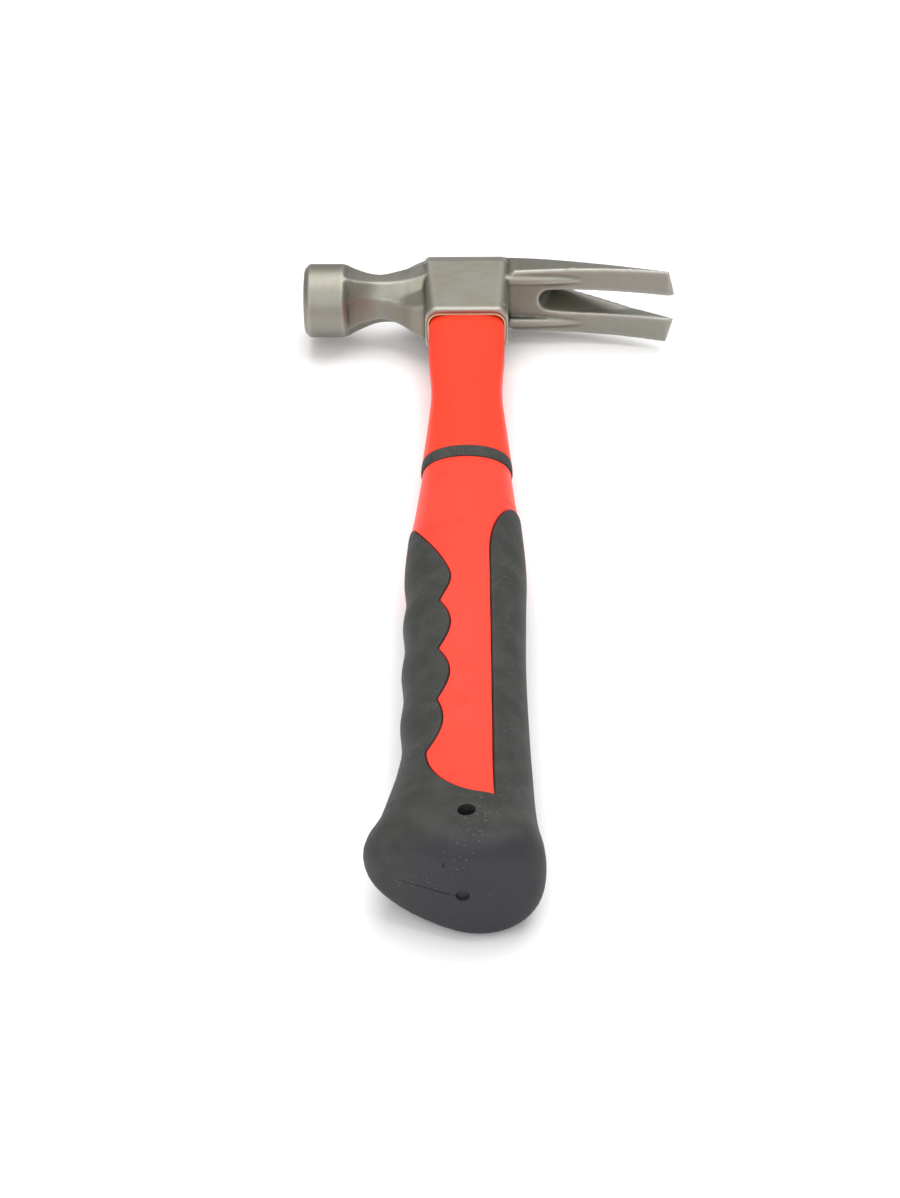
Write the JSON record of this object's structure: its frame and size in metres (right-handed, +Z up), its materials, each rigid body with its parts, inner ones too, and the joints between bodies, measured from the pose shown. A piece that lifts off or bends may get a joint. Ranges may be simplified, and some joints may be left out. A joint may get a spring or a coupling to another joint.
{
  "type": "claw hammer",
  "caption": "Straight-claw hammer lying on its side: forged steel head with a tapered nail slot, moulded handle with a rubber grip, collar band and hang hole.",
  "frame": {"origin": "middle of the hammer's length and of the head's reach, on the surface that the hammer lies on", "axes": "+Y along the handle from the butt to the head, +X from the striking face to the claw, +Z up through the hammer's thickness"},
  "size_m": [0.138, 0.3246, 0.0374],
  "materials": {
    "forged_steel": "forged, ground and tumbled to a fine satin",
    "glass_fibre": "pultruded glass-fibre rod, matt",
    "epoxy": "cast epoxy, satin",
    "red_plastic": "moulded, fine satin texture",
    "dark_rubber": "moulded, matt with a fine texture"
  },
  "bodies": {
    "root": {"head": "forged_steel", "fibreglass_core": "glass_fibre", "eye_bond": "epoxy", "handle_jacket": "red_plastic", "collar_band": "dark_rubber", "grip": "dark_rubber"}
  },
  "joints": []
}
